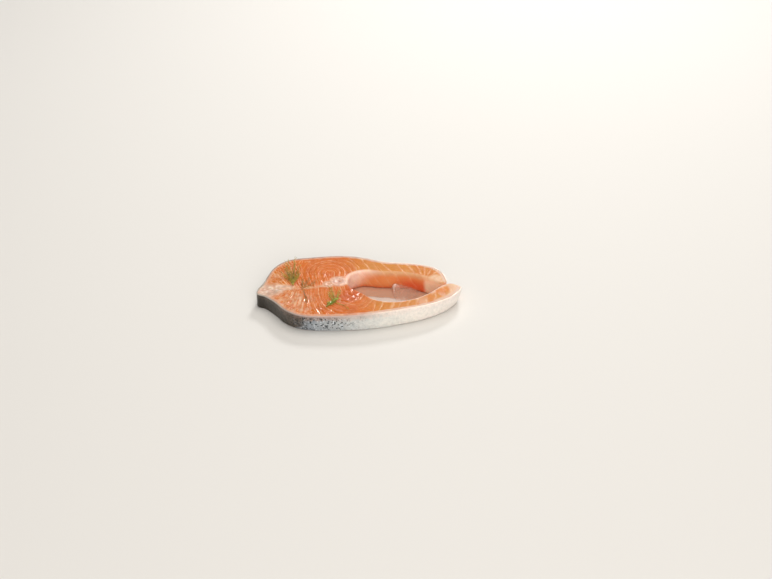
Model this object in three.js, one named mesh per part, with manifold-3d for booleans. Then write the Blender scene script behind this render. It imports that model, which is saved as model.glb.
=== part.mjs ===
// A raw salmon steak: one slice cut straight across the fish, lying flat on its cut face.
// The flesh is a thick letter C, back muscle on the left and two belly flaps on the right,
// closed round the empty belly. The skin is a band round its outside, the backbone a plug
// that runs through it, and three sprigs of dill lie on top.
// Millimetres. +X runs from the back of the fish to its belly, +Z is up, and the lower cut
// face lies on z = 0.
import * as THREE from "three";
import { mergeVertices } from "three/addons/utils/BufferGeometryUtils.js";
import Module from "manifold-3d";

const wasm = await Module();
wasm.setup();

// Driving dimensions
const THICKNESS = 15.6; // the slice, where nothing swells or sinks
const SKIN = 1.3; // skin and scales
const GAP = 0.3; // between touching pieces
const SKIN_LIFT = 0.4; // the skin's lower edge stops short of the table
const TUCK = 0.045; // how far the lower face draws in, as a share of the distance from the middle
const GROOVE_DEPTH = 0.65; // where two flakes of muscle meet
const GROOVE_SLOPE = 1.15; // half-width of a groove for each millimetre of its depth
const RELIEF_STEP = 5.8; // spacing of the grid that carries the upper face's swells
const OUTLINE_STEPS = 3; // between two points of an outline
const TURN_STEPS = 26; // segments in a whole turn of a flake's ring
const SKIN_PROUD = 0.25; // how far the skin stands above the flesh
const BONE_LIFT = 0.2; // how far the backbone's lower end stops short of the table
const STEM_RADIUS = 0.6; // dill, at the root of a frond
const LEAFLET_RADIUS = 0.4;
const LEAFLET_LENGTH = 4.5;
const LEAFLET_ANGLE = 34; // degrees off the frond
const TAPER = 0.55; // how much thinner a strand of dill is at its tip
const STRAND_CORNERS = [-30, 90, 210]; // degrees round a strand's three-sided section
const LEAST_TIP_RISE = 1.2; // of the outermost fronds in a spread

const BONE = { x: -17.8, y: 7.4, radius: 6.8, sides: 28, proud: 0.5, dish: 1.3, dishRadius: 4.2 };
const NEURAL_ARCH = { x: -27.4, y: 3.8, radius: 3.7, sides: 18, canal: 1.3 };

// The edges of the flesh and the skin, from the table up: heights, and how far the outline
// draws in there.
const FLESH_LEVELS = [
  [0, 1.1], [0.5, 0.35], [1.5, 0], [0.55 * THICKNESS, 0], [THICKNESS - 1.3, 0],
  [THICKNESS - 0.35, 0.35], [THICKNESS + 0.05, 0.9], [THICKNESS + 5, 1.2],
];
const SKIN_LEVELS = [
  [SKIN_LIFT, 0.3], [SKIN_LIFT + 0.5, 0], [THICKNESS / 3, 0], [(2 * THICKNESS) / 3, 0],
  [THICKNESS - 0.4, 0], [THICKNESS + SKIN_PROUD - 0.2, 0.3],
];

// The slab whose upper face carries the swells. Its foot lies below the table.
const SLAB = { length: 196, width: 118, foot: 6 };

// Flakes of muscle: the cores that they ring, the fan's root, and how many there are.
const FAR_CORE = { x: -25.5, y: 23.4, rings: 4, smallest: 7.5, spacing: 5.7, flatness: 0.93 };
const NEAR_CORE = { x: -12, y: -24, rings: 5, smallest: 8, spacing: 6.4, flatness: 0.95, reach: 25.5 };
const FAN = { x: -50, y: 22, flakes: 5, start: 26, shortest: 42, growth: 5.2, heading: -123, step: 8 };
const BACK_FLAKES = { x: -76, spacing: 5.6, count: 4 };
const FAR_FLAP_FLAKES = 8;
const NEAR_FLAP_FLAKES = 7;
// The seam between the two back muscles.
const SEAM = { from: [-79, 0.5], to: [-34, 2.2], bow: -1.2, steps: 8, depth: 1.1 * GROOVE_DEPTH };

// The outline, as points that a smooth line runs through. The skin starts at the end of the
// far belly flap, goes round the back and ends at the tip of the near belly flap.
const SKIN_LINE = [
  [78.7, 1.2], [77.4, 13], [68.5, 25.6], [47, 33.3], [27, 37], [8, 46.4], [-14, 51.8], [-40, 50.8],
  [-60, 48.6], [-73, 38.8], [-81.2, 22.6], [-84.8, 12.4], [-90.6, 2.6], [-90.6, -4.8], [-84.2, -9],
  [-76.4, -19.6], [-65.8, -37.6], [-52.6, -46.9], [-30, -50.8], [0, -51.7], [30, -46.9], [60, -38],
  [79, -26.2], [88.6, -14.6], [90.6, -8.8],
];
// The inside: from that tip back along the near flap, round the belly cavity and out to the
// end of the far flap, which rests against the near one.
const CAVITY_LINE = [
  [88.6, -6.2], [82, -1.9], [76.6, -3.2], [71.6, -6.6], [62, -16.4], [48, -26.6], [29, -31.9],
  [13.4, -27.4], [1.5, -14], [-8.6, 0.5], [-7, 15.6], [5.6, 21.8], [20, 18.2], [42, 15.4],
  [59, 7.8], [70, 0.8], [74.6, -1.6], [77.4, -0.9],
];

// Swells and hollows of the upper face: middle, reach along X and Y, and height.
const SWELLS = [
  { x: -33, y: 27, rx: 30, ry: 17, rise: 1.2 }, // far back muscle
  { x: -42, y: -24, rx: 30, ry: 17, rise: 1.3 }, // near back muscle
  { x: 14, y: -44, rx: 52, ry: 20, rise: 1.9 }, // near flank
  { x: 30, y: 27, rx: 30, ry: 10, rise: 0.5 }, // far flank
  { x: -90, y: 0, rx: 26, ry: 40, rise: -1.7 }, // root of the back fin
  { x: 88, y: -4, rx: 26, ry: 30, rise: -1.1 }, // tips of the belly flaps
  { x: -56, y: 2, rx: 28, ry: 4.6, rise: -1.3 }, // seam of the two back muscles
  { x: -53.5, y: 6.6, rx: 5, ry: 4, rise: -0.9 }, // pit beside the seam
];

// Dill sprigs: either fronds spread from one root, or fronds one by one. A frond starts at its
// root with a heading in degrees, bends by as many degrees as it runs out, and its tip rises.
const SPRIGS = [
  {
    name: "dill_sprig_1",
    spread: { root: [-58.2, 5.4], from: 114, to: 62, count: 9, short: 22, long: 36, rise: 8 },
  },
  {
    name: "dill_sprig_2",
    fronds: [
      { root: [-31, -36.5], heading: 50, length: 16.5, rise: 0.4, leaflets: 9 },
      { root: [-25.4, -29.6], heading: -26, length: 19.5, rise: 0.2, bend: -36, leaflets: 0 },
      { root: [-24.4, -28.6], heading: 106, length: 15, rise: 1, bend: -10, leaflets: 3 },
      { root: [-23.2, -27.1], heading: 92, length: 22, rise: 1.6, bend: 8, leaflets: 4 },
      { root: [-22, -25.7], heading: 66, length: 14, rise: 1.2, bend: 16, leaflets: 2 },
    ],
  },
  {
    name: "dill_sprig_3",
    fronds: [
      { root: [-48.9, -11], heading: 99, length: 12, rise: 0.2, leaflets: 0 },
      { root: [-50.5, -0.6], heading: 88, length: 12, rise: 1, bend: -10, leaflets: 3 },
      { root: [-50.3, -1.4], heading: 66, length: 14, rise: 1.2, bend: -12, leaflets: 3 },
      { root: [-50.2, -2.4], heading: 42, length: 15, rise: 1, bend: -10, leaflets: 3 },
      { root: [-49.1, -10], heading: -80, length: 19, rise: 0.2, bend: -12, leaflets: 2 },
    ],
  },
];

const COLOURS = {
  flesh: { color: 0xd9793c, roughness: 0.35 },
  skin: { color: 0xa7aaa8, roughness: 0.4 },
  backbone: { color: 0xe8c0ae, roughness: 0.4 },
  dill: { color: 0x5f7326, roughness: 0.6 },
};

function topAt(x, y) {
  return SWELLS.reduce(
    (height, s) => height + s.rise * Math.exp(-(((x - s.x) / s.rx) ** 2) - ((y - s.y) / s.ry) ** 2),
    THICKNESS,
  );
}

// Takes a point of the flat slice to its place in the real one, whose upper face swells and
// whose sides lean in towards the table.
function settled(point) {
  const above = Math.max(0, 1 - point.z / THICKNESS);
  const drawnIn = TUCK * above * above;
  const z = (point.z / THICKNESS) * topAt(point.x, point.y);
  return new THREE.Vector3(point.x - Math.max(point.x, 0) * drawnIn, point.y * (1 - drawnIn), z);
}

// Closed surface through rings of equally many points, anticlockwise seen from the last ring.
function loft(rings, capTriangles) {
  const sides = rings[0].length;
  const last = (rings.length - 1) * sides;
  const index = [];
  for (let r = 0; r < rings.length - 1; r++) {
    for (let j = 0; j < sides; j++) {
      const a = r * sides + j;
      const b = r * sides + ((j + 1) % sides);
      index.push(a, b, b + sides, a, b + sides, a + sides);
    }
  }
  for (const [a, b, c] of capTriangles) index.push(a, c, b, last + a, last + b, last + c);
  const geometry = new THREE.BufferGeometry().setFromPoints(rings.flat());
  return geometry.setIndex(index);
}

const THREE_SIDES = [[0, 1, 2]]; // the cap of a three-sided loft

function solid(geometry) {
  const bare = geometry.clone();
  bare.deleteAttribute("normal");
  bare.deleteAttribute("uv");
  const merged = mergeVertices(bare, 1e-4);
  return new wasm.Manifold(
    new wasm.Mesh({
      numProp: 3,
      vertProperties: new Float32Array(merged.attributes.position.array),
      triVerts: new Uint32Array(merged.index.array),
    }),
  );
}

function meshOf(name, body, look) {
  const cut = body.getMesh();
  const geometry = new THREE.BufferGeometry();
  geometry.setAttribute("position", new THREE.BufferAttribute(cut.vertProperties, 3));
  geometry.setIndex(new THREE.BufferAttribute(cut.triVerts, 1));
  geometry.computeVertexNormals();
  const mesh = new THREE.Mesh(geometry, new THREE.MeshStandardMaterial(look));
  mesh.name = name;
  return mesh;
}

// A smooth open line through plan points.
function line(points) {
  const through = points.map(([x, y]) => new THREE.Vector3(x, y, 0));
  const curve = new THREE.CatmullRomCurve3(through, false, "centripetal");
  return curve.getPoints((points.length - 1) * OUTLINE_STEPS);
}

// Moves each point of a plan line to its left, which is inwards on an anticlockwise outline.
function shifted(points, distance, closed) {
  const count = points.length;
  return points.map((point, k) => {
    const before = points[closed ? (k - 1 + count) % count : Math.max(k - 1, 0)];
    const after = points[closed ? (k + 1) % count : Math.min(k + 1, count - 1)];
    const ahead = new THREE.Vector3().subVectors(after, before).normalize();
    return new THREE.Vector3(point.x - ahead.y * distance, point.y + ahead.x * distance, 0);
  });
}

// An outline stood up as a solid: levels are [height, how far the outline draws in there].
function upright(outline, levels) {
  const rings = levels.map(([z, inset]) =>
    shifted(outline, inset, true).map((p) => settled(p.setZ(z))),
  );
  const plan = outline.map((p) => new THREE.Vector2(p.x, p.y));
  return solid(loft(rings, THREE.ShapeUtils.triangulateShape(plan, [])));
}

function round(centre, radius, bottom, top, sides) {
  const outline = Array.from({ length: sides }, (_, k) => {
    const angle = (2 * Math.PI * k) / sides;
    const x = centre.x + radius * Math.cos(angle);
    return new THREE.Vector3(x, centre.y + radius * Math.sin(angle), 0);
  });
  return upright(outline, [[bottom, 0], [top, 0]]);
}

// A V-shaped groove along a plan line, deepest in the middle and running out at both ends.
function groove(points, depth = GROOVE_DEPTH) {
  const clear = 0.7; // how far the cutting wedge stands out of the face
  const rings = points.map((p, k) => {
    const before = points[Math.max(k - 1, 0)];
    const after = points[Math.min(k + 1, points.length - 1)];
    const ahead = new THREE.Vector3(after.x - before.x, after.y - before.y, 0).normalize();
    const left = new THREE.Vector3(-ahead.y, ahead.x, 0);
    const here = depth * Math.min(1, 3 * Math.sin((Math.PI * k) / (points.length - 1)) + 0.1);
    const wide = (here + clear) * GROOVE_SLOPE;
    const top = topAt(p.x, p.y);
    const apex = new THREE.Vector3(p.x, p.y, top - here);
    const over = new THREE.Vector3(p.x, p.y, top + clear);
    const edge = (side) => over.clone().addScaledVector(left, side * wide);
    return [apex, edge(1), edge(-1)];
  });
  return solid(loft(rings, THREE_SIDES));
}

// Part of an ellipse in plan, from one angle to another in degrees.
function arc(centre, rx, ry, from, to) {
  const [start, end] = [from, to].map(THREE.MathUtils.degToRad);
  const curve = new THREE.EllipseCurve(centre.x, centre.y, rx, ry, start, end);
  return curve.getPoints(Math.max(6, Math.round(((to - from) / 360) * TURN_STEPS)));
}

// A bowed plan line between two points; bow is how far its middle stands off to the left.
function bowed(from, to, bow, steps = 5) {
  const ahead = new THREE.Vector2().subVectors(to, from);
  const middle = new THREE.Vector2().addVectors(from, to).multiplyScalar(0.5);
  const side = new THREE.Vector2(-ahead.y, ahead.x).normalize();
  middle.addScaledVector(side, 2 * bow);
  return new THREE.QuadraticBezierCurve(from, middle, to).getPoints(steps);
}

// The lines where flakes of muscle meet, as plan lines.
function flakeLines() {
  const lines = [];
  const at = (x, y) => new THREE.Vector2(x, y);
  // far back muscle: rings round its core
  for (let ring = 0; ring < FAR_CORE.rings; ring++) {
    const radius = FAR_CORE.smallest + FAR_CORE.spacing * ring;
    lines.push(arc(FAR_CORE, radius, radius * FAR_CORE.flatness, 35 + 4 * ring, 228 - 14 * ring));
  }
  // far back muscle, towards the back fin: slanting flakes
  for (let flake = 0; flake < BACK_FLAKES.count; flake++) {
    const x = BACK_FLAKES.x + BACK_FLAKES.spacing * flake;
    const rim = at(x - 1.5, 17 + BACK_FLAKES.spacing * flake);
    lines.push(bowed(rim, at(x + 9, 7 + 1.6 * flake), 1.2));
  }
  // near back muscle: a fan under the seam
  for (let flake = 0; flake < FAN.flakes; flake++) {
    const angle = THREE.MathUtils.degToRad(FAN.heading + FAN.step * flake);
    const out = (reach) => at(FAN.x + reach * Math.cos(angle), FAN.y + reach * Math.sin(angle));
    lines.push(bowed(out(FAN.start), out(FAN.shortest + FAN.growth * flake), 0));
  }
  // near back muscle: rings round its core, open towards the belly
  for (let ring = 0; ring < NEAR_CORE.rings; ring++) {
    const rx = NEAR_CORE.smallest + NEAR_CORE.spacing * ring;
    const ry = Math.min(rx * NEAR_CORE.flatness, NEAR_CORE.reach);
    lines.push(arc(NEAR_CORE, rx, ry, 150 - 6 * ring, 262 - 6 * ring));
  }
  // far belly flap: slanting flakes that turn to a fan at its end
  for (let flake = 0; flake < FAR_FLAP_FLAKES; flake++) {
    const share = flake / (FAR_FLAP_FLAKES - 1);
    const rim = at(-3 + 68 * share, 44.5 - 16.5 * Math.sqrt(share));
    const edge = at(7 + 52 * share, 25 - 6 * share - 7.2 * share * share);
    lines.push(bowed(rim, edge, -0.9 + 0.7 * share));
  }
  // near belly flap: flakes across it
  for (let flake = 0; flake < NEAR_FLAP_FLAKES; flake++) {
    const share = flake / (NEAR_FLAP_FLAKES - 1);
    const rim = at(12 + 61 * share, -47.6 + 19 * share * share);
    const edge = at(19 + 55 * share, -33.6 + 22.5 * share ** 1.7);
    lines.push(bowed(rim, edge, 0.7));
  }
  return lines;
}

// The slice's swelling upper face, as the top of a slab that the slice is cut out of.
function makeSlab() {
  const { length, width, foot } = SLAB;
  const slab = new THREE.BoxGeometry(
    length, width, THICKNESS + foot,
    Math.round(length / RELIEF_STEP), Math.round(width / RELIEF_STEP), 1,
  );
  slab.translate(0, 0, (THICKNESS - foot) / 2);
  const place = slab.attributes.position;
  for (let k = 0; k < place.count; k++) {
    const p = new THREE.Vector3().fromBufferAttribute(place, k);
    if (p.z > 0) place.setZ(k, topAt(p.x, p.y));
  }
  return solid(slab);
}

function makeFlesh() {
  const outside = shifted(line(SKIN_LINE), SKIN + GAP, false);
  let flesh = upright([...outside, ...line(CAVITY_LINE)], FLESH_LEVELS).intersect(makeSlab());
  for (const piece of [BONE, NEURAL_ARCH]) {
    flesh = flesh.subtract(round(piece, piece.radius + GAP, -1, THICKNESS + 4, piece.sides));
  }
  for (const points of flakeLines()) flesh = flesh.subtract(groove(points));
  const [from, to] = [SEAM.from, SEAM.to].map(([x, y]) => new THREE.Vector2(x, y));
  return flesh.subtract(groove(bowed(from, to, SEAM.bow, SEAM.steps), SEAM.depth));
}

function makeSkin() {
  const outer = line(SKIN_LINE);
  const inner = shifted(outer, SKIN, false);
  return upright([...outer, ...inner.reverse()], SKIN_LEVELS);
}

// The vertebra is a drum with a dished face, and the arch behind it carries the nerve canal.
function makeBackbone() {
  const top = THICKNESS + BONE.proud;
  const drum = round(BONE, BONE.radius, BONE_LIFT, top, BONE.sides);
  const arch = round(NEURAL_ARCH, NEURAL_ARCH.radius, BONE_LIFT, top - 0.1, NEURAL_ARCH.sides);
  const canal = round(NEURAL_ARCH, NEURAL_ARCH.canal, -1, top + 1, 10);
  const dish = new THREE.ConeGeometry(BONE.dishRadius, BONE.dish, 20);
  dish.rotateX(-Math.PI / 2);
  const face = topAt(BONE.x, BONE.y) + BONE.proud;
  const clear = 0.15; // how far the cutting cone stands out of the face
  dish.translate(BONE.x, BONE.y, face - BONE.dish / 2 + clear);
  return drum.add(arch).subtract(canal).subtract(solid(dish));
}

// A point of a frond in plan: share runs from 0 at its root to 1 at its tip.
function along({ root, heading, length, bend = 0 }, share) {
  const angle = THREE.MathUtils.degToRad(heading + (bend * share) / 2);
  const [x, y] = root;
  const reach = length * share;
  return new THREE.Vector2(x + reach * Math.cos(angle), y + reach * Math.sin(angle));
}

// A tapering strand of dill over the upper face, three-sided, whose tip rises.
function strand(frond, radius, steps) {
  const { rise = 0, height = 0 } = frond;
  const rings = [];
  for (let k = 0; k <= steps; k++) {
    const share = k / steps;
    const here = along(frond, share);
    const ahead = along(frond, share + 0.01).sub(along(frond, share - 0.01)).normalize();
    const lift = topAt(here.x, here.y) + 2 * GAP + STEM_RADIUS + height + rise * share * share;
    const middle = new THREE.Vector3(here.x, here.y, lift);
    const thin = radius * (1 - TAPER * share);
    const left = new THREE.Vector3(-ahead.y, ahead.x, 0).multiplyScalar(thin);
    const up = new THREE.Vector3(0, 0, thin);
    const corner = (degrees) => {
      const angle = THREE.MathUtils.degToRad(degrees);
      const across = middle.clone().addScaledVector(left, Math.cos(angle));
      return across.addScaledVector(up, Math.sin(angle));
    };
    rings.push(STRAND_CORNERS.map(corner));
  }
  return solid(loft(rings, THREE_SIDES));
}

// A frond: a strand with shorter leaflets on both its sides, fused to it.
function makeFrond(frond) {
  const { heading, length, rise, bend = 0, leaflets } = frond;
  let body = strand(frond, STEM_RADIUS, 4);
  for (let k = 0; k < leaflets; k++) {
    const share = (k + 1) / (leaflets + 1);
    const side = k % 2 ? 1 : -1;
    const leaflet = {
      root: along(frond, share).toArray(),
      heading: heading + bend * share + LEAFLET_ANGLE * side,
      length: Math.min(LEAFLET_LENGTH, length / 3),
      rise: 0.3,
      height: rise * share * share,
    };
    body = body.add(strand(leaflet, LEAFLET_RADIUS, 1));
  }
  return body;
}

// Fronds from one root, spread evenly between two headings, the middle ones longest and highest.
function spreadFronds({ root, from, to, count, short, long, rise }) {
  return Array.from({ length: count }, (_, k) => {
    const share = k / (count - 1);
    const middle = Math.sin(Math.PI * share);
    const shorter = k % 2 ? 0.82 : 1;
    return {
      root,
      heading: from + (to - from) * share,
      length: (short + (long - short) * middle) * shorter,
      rise: LEAST_TIP_RISE + (rise - LEAST_TIP_RISE) * middle,
      bend: 12 * (0.5 - share) + 5 * Math.cos(2.4 * k),
      leaflets: 3,
    };
  });
}

function makeSprig({ spread, fronds }) {
  const all = spread ? spreadFronds(spread) : fronds;
  return all.map(makeFrond).reduce((whole, one) => whole.add(one));
}

const steak = new THREE.Group().add(
  meshOf("flesh", makeFlesh(), COLOURS.flesh),
  meshOf("skin", makeSkin(), COLOURS.skin),
  meshOf("backbone", makeBackbone(), COLOURS.backbone),
  ...SPRIGS.map((sprig) => meshOf(sprig.name, makeSprig(sprig), COLOURS.dill)),
);
// The origin is under the middle of the overall length and width.
const middle = new THREE.Box3().setFromObject(steak).getCenter(new THREE.Vector3());
steak.position.set(-middle.x, -middle.y, 0);

export default new THREE.Group().add(steak);
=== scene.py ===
# A raw salmon steak: one slice cut straight across the fish, lying flat on its cut face, with
# three sprigs of dill on top. Metres, +X from the back of the fish to its belly, +Z up.
import math
import random

import bmesh
import bpy
import numpy as np
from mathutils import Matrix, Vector, kdtree, noise
from mathutils.bvhtree import BVHTree


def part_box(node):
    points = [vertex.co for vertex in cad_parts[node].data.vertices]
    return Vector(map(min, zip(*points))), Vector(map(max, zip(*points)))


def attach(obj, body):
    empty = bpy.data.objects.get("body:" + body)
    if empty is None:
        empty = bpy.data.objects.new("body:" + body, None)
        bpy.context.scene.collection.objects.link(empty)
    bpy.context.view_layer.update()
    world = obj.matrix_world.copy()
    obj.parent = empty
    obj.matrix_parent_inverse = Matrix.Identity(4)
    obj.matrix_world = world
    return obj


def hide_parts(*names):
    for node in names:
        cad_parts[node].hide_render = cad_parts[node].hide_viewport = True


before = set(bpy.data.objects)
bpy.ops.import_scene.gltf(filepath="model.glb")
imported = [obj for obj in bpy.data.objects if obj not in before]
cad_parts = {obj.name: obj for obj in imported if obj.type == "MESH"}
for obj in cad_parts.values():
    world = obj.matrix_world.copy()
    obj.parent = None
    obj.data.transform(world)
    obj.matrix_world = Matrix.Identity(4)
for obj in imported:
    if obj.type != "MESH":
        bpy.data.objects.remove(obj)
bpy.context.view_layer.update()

# ---------------------------------------------------------------------------------------------
# Camera. It looks down at the steak by 32 degrees, from about one and a half metres away.
MM = 0.001
LENS, SENSOR = 78.1, 36
CAMERA_AT = Vector((-86.0, -1258.5, 798.9)) * MM
LOOK_AT = Vector((25.4, 15.1, 0)) * MM


def placed(name, data):
    """A new object in the scene for a mesh, a curve, a light or a camera."""
    made = bpy.data.objects.new(name, data)
    bpy.context.scene.collection.objects.link(made)
    return made


camera = placed("camera", bpy.data.cameras.new("camera"))
camera.data.lens = LENS
camera.data.sensor_width = SENSOR
camera.location = CAMERA_AT
camera.rotation_euler = (LOOK_AT - CAMERA_AT).to_track_quat("-Z", "Y").to_euler()
camera.data.clip_start = 0.02
bpy.context.scene.camera = camera
bpy.context.scene.view_settings.view_transform = "Standard"

# ---------------------------------------------------------------------------------------------
# Flesh: the slice itself, wet raw muscle. It is built of flakes, each as wide as a finger or
# less, and between two flakes runs a thin pale sheet of fat. The cut goes across all of them,
# so they show as pale lines: rings in the thick back muscles, slanting bars in the flaps.
THICKNESS = 15.6
SWELLS = [  # middle, reach along X and Y, and height, as the solid has them
    (-33, 27, 30, 17, 1.2),
    (-42, -24, 30, 17, 1.3),
    (14, -44, 52, 20, 1.9),
    (30, 27, 30, 10, 0.5),
    (-90, 0, 26, 40, -1.7),
    (88, -4, 26, 30, -1.1),
    (-56, 2, 28, 4.6, -1.3),
    (-53.5, 6.6, 5, 4, -0.9),
]
FLESH_VOXEL = 0.64  # width of its mesh's cells
SKIN_ROUNDING, BELLY_ROUNDING = 0.35, 1.1
AT_SKIN, AT_BONE = 1.1, 1.2  # a wall this near to the skin or to the backbone lies against it
SKIN_GAP, BONE_GAP = 0.9, 0.7  # how far those walls move out to meet them
RIM_BAND = (10.5, 14)  # heights between which the walls give the rims their plan
FLAKE_STEP, FLAKE_TILT = 0.1, 0.16  # how much single flakes stand out, and how much they tilt
SEPTUM_DEPTH, SEPTUM_REACH, SEAM_DEPTH = 0.15, 0.75, 0.3  # how deep the septa and the seam sink
LUMP, FAT_LUMP, JUICE_RIDGE = 0.13, 0.25, 0.85  # how high the face's uneven parts stand
WALL_LEAN = 0.75  # how far the flakes on the belly's wall lean to the right as they go down

bone_low, bone_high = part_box("backbone")
BONE_RADIUS = 6.8
bone_at = (bone_high.x / MM - BONE_RADIUS, bone_high.y / MM - BONE_RADIUS)
ARCH_RADIUS = 3.7
arch_at = (bone_low.x / MM + ARCH_RADIUS, bone_low.y / MM + ARCH_RADIUS)


def top_at(x, y):
    """Height of the upper face over a plan point, in millimetres."""
    height = THICKNESS + 0 * x
    for middle_x, middle_y, reach_x, reach_y, rise in SWELLS:
        height = height + rise * np.exp(-(((x - middle_x) / reach_x) ** 2) - ((y - middle_y) / reach_y) ** 2)
    return height


def piece_from(shape, name):
    """Turns a bmesh into an object."""
    mesh = bpy.data.meshes.new(name)
    shape.to_mesh(mesh)
    shape.free()
    return placed(name, mesh)


def merged_copy(node, name):
    """A new object with a CAD node's shape, its loose triangles joined up."""
    shape = bmesh.new()
    shape.from_mesh(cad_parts[node].data)
    bmesh.ops.remove_doubles(shape, verts=shape.verts, dist=0.01 * MM)
    return piece_from(shape, name)


def applied(piece):
    """Turns the piece's modifiers into its mesh."""
    depsgraph = bpy.context.evaluated_depsgraph_get()
    mesh = bpy.data.meshes.new_from_object(piece.evaluated_get(depsgraph))
    piece.modifiers.clear()
    piece.data = mesh
    return piece


def remeshed(piece, voxel):
    """The piece as an even mesh of cells that many millimetres wide."""
    modifier = piece.modifiers.new("even mesh", "REMESH")
    modifier.mode = "VOXEL"
    modifier.voxel_size = voxel * MM
    modifier.use_smooth_shade = True
    return applied(piece)


def read(items, field, width, kind=float):
    """A field of all vertices or edges as one array."""
    values = np.empty(len(items) * width, kind)
    items.foreach_get(field, values)
    return values.reshape(-1, width) if width > 1 else values


def write_places(mesh, places):
    """Moves the vertices to their places, in millimetres."""
    mesh.vertices.foreach_set("co", (places * MM).ravel())
    mesh.update()


def relaxed(places, edges, rounds, weight=0.5):
    """Each point moves towards the middle of its neighbours, by a weight or by one each."""
    ends = np.concatenate([edges[:, 0], edges[:, 1]])
    others = np.concatenate([edges[:, 1], edges[:, 0]])
    neighbours = np.bincount(ends, minlength=len(places))[:, None]
    for _ in range(rounds):
        sums = [np.bincount(ends, places[others, axis], len(places)) for axis in range(3)]
        places = places + weight * (np.stack(sums, 1) / neighbours - places)
    return places


def away_from(plan, targets):
    """Distance of each plan point from the nearest target."""
    tree = kdtree.KDTree(len(targets))
    for number, (x, y) in enumerate(targets):
        tree.insert((x, y, 0), number)
    tree.balance()
    return np.array([tree.find((x, y, 0))[2] for x, y in plan])


def step(value, start, end):
    """0 before start, 1 after end and smooth between; start may be the larger."""
    share = np.clip((value - start) / (end - start), 0, 1)
    return share * share * (3 - 2 * share)


def blob(plan, x, y, reach_x, reach_y, turn=0):
    """1 in the middle of an ellipse, 0 outside it."""
    c, s = math.cos(math.radians(turn)), math.sin(math.radians(turn))
    along = ((plan[:, 0] - x) * c + (plan[:, 1] - y) * s) / reach_x
    across = ((plan[:, 1] - y) * c - (plan[:, 0] - x) * s) / reach_y
    return step(np.hypot(along, across), 1.25, 0.55)


def clouds(places, size, seed):
    """Smooth noise from -1 to 1 whose lumps are about that many millimetres across."""
    return np.array([noise.noise(Vector(p) / size + Vector((seed, 0, 0))) for p in places])


flesh = remeshed(merged_copy("flesh", "steak_flesh"), FLESH_VOXEL)
places = read(flesh.data.vertices, "co", 3) / MM
edges = read(flesh.data.edges, "vertices", 2, np.int32)
places = relaxed(places, edges, 3)
write_places(flesh.data, places)
normals = read(flesh.data.vertices, "normal", 3)
plan = places[:, :2]

# which rim each wall belongs to: the skin's side, the belly's side or the backbone's
skin_shape = merged_copy("skin", "skin_shape")
skin_tree = BVHTree.FromObject(skin_shape, bpy.context.evaluated_depsgraph_get())
to_skin = np.array([skin_tree.find_nearest(Vector(p) * MM)[3] for p in places]) / MM
bpy.data.objects.remove(skin_shape)
wall = (np.abs(normals[:, 2]) < 0.4) & (places[:, 2] > RIM_BAND[0]) & (places[:, 2] < RIM_BAND[1])
near_bone = np.minimum(
    np.hypot(plan[:, 0] - bone_at[0], plan[:, 1] - bone_at[1]) - BONE_RADIUS,
    np.hypot(plan[:, 0] - arch_at[0], plan[:, 1] - arch_at[1]) - ARCH_RADIUS,
)
skin_rim = plan[wall & (to_skin < AT_SKIN)]
bone_rim = plan[wall & (near_bone < AT_BONE) & (to_skin > AT_SKIN)]
belly_rim = plan[wall & (near_bone > AT_BONE) & (to_skin > AT_SKIN)]
from_skin = away_from(plan, skin_rim)
from_belly = away_from(plan, belly_rim)
from_bone = away_from(plan, bone_rim)


RUN_ON = 30
BACK_FLAKE, FLAP_FLAKE = 5.0, 6.0  # how wide a flake is past the last septum


def through(points, steps=8):
    """A smooth plan line through points, run on straight for a while past both ends."""
    points = np.array(points, float)
    before = points[0] + (points[0] - points[1])
    after = points[-1] + (points[-1] - points[-2])
    guide = np.vstack([before, points, after])
    line = []
    for a, b, c, d in zip(guide, guide[1:], guide[2:], guide[3:]):
        for t in np.arange(steps) / steps:
            bend = 2 * b + (c - a) * t + (2 * a - 5 * b + 4 * c - d) * t * t
            line.append(0.5 * (bend + (3 * b - a - 3 * c + d) * t**3))
    line.append(points[-1])
    line = np.array(line)
    start = line[0] + RUN_ON * (line[0] - line[1]) / np.hypot(*(line[0] - line[1]))
    end = line[-1] + RUN_ON * (line[-1] - line[-2]) / np.hypot(*(line[-1] - line[-2]))
    return np.vstack([start, line, end])


def all_through(rows):
    return [through(points) for points in rows]


def beside(plan, line):
    """How far each plan point lies to the left of a line, and how far along it."""
    nearest = np.full(len(plan), 1e9)
    side, along = np.zeros(len(plan)), np.zeros(len(plan))
    run = 0
    for a, b in zip(line, line[1:]):
        ahead = b - a
        length = np.hypot(*ahead)
        off = plan - a
        share = np.clip(off @ ahead / length**2, 0, 1)
        gap = np.hypot(off[:, 0] - share * ahead[0], off[:, 1] - share * ahead[1])
        left = ahead[0] * off[:, 1] - ahead[1] * off[:, 0]
        closer = gap < nearest
        nearest[closer] = gap[closer]
        side[closer] = np.sign(left[closer])
        along[closer] = run + share[closer] * length
        run += length
    return side * nearest, along


def between(plan, septa, usual):
    """For each plan point its place among the septa (2.5 is midway from the third to the
    fourth), how far along them it is, and how far apart they are there."""
    sides, alongs = zip(*[beside(plan, line) for line in septa])
    sides, alongs = np.array(sides), np.array(alongs)
    passed = (sides > 0).sum(0) - 1
    low = np.clip(passed, 0, len(septa) - 2)
    everyone = np.arange(len(plan))
    below, above = sides[low, everyone], sides[low + 1, everyone]
    inside = (passed >= 0) & (passed < len(septa) - 1)
    apart = np.where(inside, np.maximum(below - above, 0.5), usual)
    share = np.where(inside, below / apart, np.where(passed < 0, below / usual, 1 + above / usual))
    weight = np.clip(share, 0, 1)
    along = alongs[low, everyone] * (1 - weight) + alongs[low + 1, everyone] * weight
    return low + share, along, apart


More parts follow.
